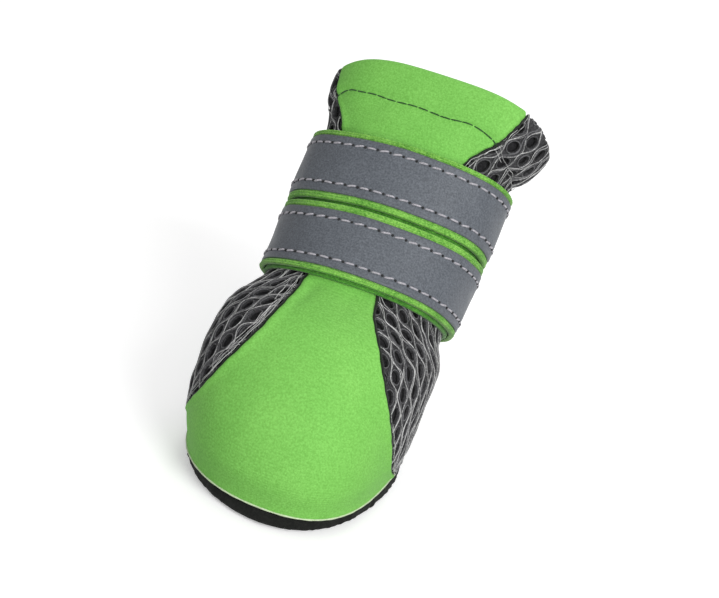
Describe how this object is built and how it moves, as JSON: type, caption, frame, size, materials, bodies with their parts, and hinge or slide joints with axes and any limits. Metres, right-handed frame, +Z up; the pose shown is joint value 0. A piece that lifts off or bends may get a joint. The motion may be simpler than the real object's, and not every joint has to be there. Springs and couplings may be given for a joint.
{
  "type": "dog boot",
  "caption": "Soft dog boot with a rubber sole, a hollow fabric upper open at the collar, and two wrap straps with reflective tape.",
  "frame": {"origin": "middle of the sole's flat underside, where the boot stands", "axes": "+Z up, toe towards -Y, +X across the boot"},
  "size_m": [0.051, 0.0924, 0.0796],
  "materials": {
    "sole_rubber": "matt, slightly rough black rubber",
    "footbed_fabric": "dark brushed lining",
    "upper_fabric": "lime green stretch fabric",
    "mesh_fabric": "dark grey air mesh with oval holes",
    "binding_fabric": "dark seam and hem thread",
    "loop_tape": "green brushed loop tape",
    "strap_tape": "green woven tape with ribbed edges",
    "reflective_tape": "grey reflective tape, satin",
    "stitch_thread": "light grey thread"
  },
  "bodies": {
    "root": {"outsole": "sole_rubber", "insole": "footbed_fabric", "upper": "upper_fabric", "lower_loop_tape": "loop_tape", "lower_strap": "strap_tape", "upper_loop_tape": "loop_tape", "upper_strap": "strap_tape"}
  },
  "joints": []
}
